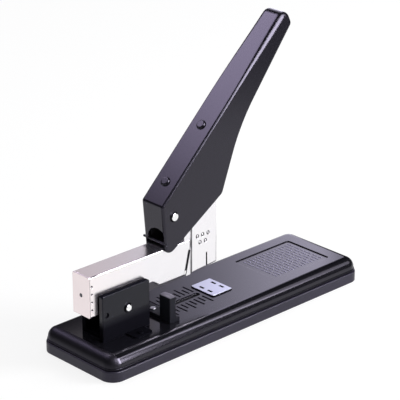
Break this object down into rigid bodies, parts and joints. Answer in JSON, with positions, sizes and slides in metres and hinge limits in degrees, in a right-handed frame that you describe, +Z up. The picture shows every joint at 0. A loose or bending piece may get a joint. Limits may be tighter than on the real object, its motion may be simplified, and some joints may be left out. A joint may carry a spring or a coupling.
{
  "type": "heavy-duty stapler",
  "caption": "Long-throat desk stapler with folded steel press handle, chromed arm and magazine, hinge bracket, sliding paper guide and clinching anvil on a long black base.",
  "frame": {"origin": "middle of the base's flat underside", "axes": "+Z up, +Y along the base towards the paper end, +X towards the peened end of the hinge pin"},
  "size_m": [0.0826, 0.272, 0.2349],
  "materials": {
    "mat_rubber": "matte black moulded skirt",
    "black_enamel": "glossy black enamel on sheet steel",
    "black_satin": "satin black enamel on steel plate",
    "handle_enamel": "glossy black enamel on the folded handle",
    "chrome_sheet": "bright chromed sheet",
    "plated_steel": "zinc plated steel",
    "pin_steel": "bright turned steel",
    "spring_steel": "drawn spring wire",
    "staple_steel": "galvanised staple wire",
    "hard_steel": "ground hardened steel"
  },
  "bodies": {
    "base": {"base_mat": "mat_rubber", "base_cover": "black_enamel", "bed_plate": "plated_steel", "anvil_plate": "chrome_sheet", "hinge_bracket": "black_satin", "bracket_rivets": "black_satin", "hinge_pin": "pin_steel", "hinge_washers": "plated_steel", "base_screws": "plated_steel", "lift_spring": "spring_steel"},
    "guide": {"paper_guide": "black_satin", "guide_rivet": "black_satin", "guide_washer": "plated_steel"},
    "arm": {"body_cover": "chrome_sheet", "tail_cap": "chrome_sheet", "frame_plate_near": "chrome_sheet", "frame_plate_far": "chrome_sheet", "hinge_sleeve": "plated_steel", "spring_seat": "plated_steel", "head_housing": "chrome_sheet", "pivot_pin": "pin_steel", "pivot_clip": "spring_steel", "magazine_channel": "plated_steel", "staple_rail": "plated_steel", "rail_pin": "pin_steel", "staple_strip": "staple_steel", "guide_rod": "pin_steel", "rod_stop": "plated_steel", "pusher_spring": "spring_steel", "ram_spring": "spring_steel"},
    "pusher": {"staple_pusher": "plated_steel"},
    "handle": {"handle_shell": "handle_enamel", "handle_rivets": "handle_enamel", "press_bracket": "plated_steel", "press_pin": "hard_steel", "heel_rod": "pin_steel"},
    "ram": {"driver_ram": "hard_steel", "driver_blade": "hard_steel", "blade_rivets": "hard_steel"}
  },
  "joints": [
    {"name": "arm_hinge", "type": "hinge", "parent": "base", "child": "arm", "pos_m": [0, -0.0953, 0.041], "axis": [-1, 0, 0], "range_deg": [0, 15.1], "stiffness_Nm_per_rad": 1, "springref_deg": -34.38, "deforming": ["lift_spring"]},
    {"name": "handle_pivot", "type": "hinge", "parent": "arm", "child": "handle", "pos_m": [0, -0.0453, 0.0997], "axis": [-1, 0, 0], "range_deg": [0, 42], "stiffness_Nm_per_rad": 0.5, "springref_deg": -51.57},
    {"name": "ram_slide", "type": "slide", "parent": "arm", "child": "ram", "axis": [0, 0, -1], "range_m": [0, 0.0188], "deforming": ["ram_spring"]},
    {"name": "paper_guide_slide", "type": "slide", "parent": "base", "child": "guide", "axis": [0, 1, 0], "range_m": [0, 0.032]},
    {"name": "pusher_slide", "type": "slide", "parent": "arm", "child": "pusher", "axis": [0, -1, 0], "range_m": [0, 0.042], "stiffness_N_per_m": 40, "springref_m": -0.08, "deforming": ["pusher_spring"]}
  ],
  "couplings": [
    {"joint": "ram_slide", "follows": "handle_pivot", "m_per_rad": 0.025647}
  ]
}
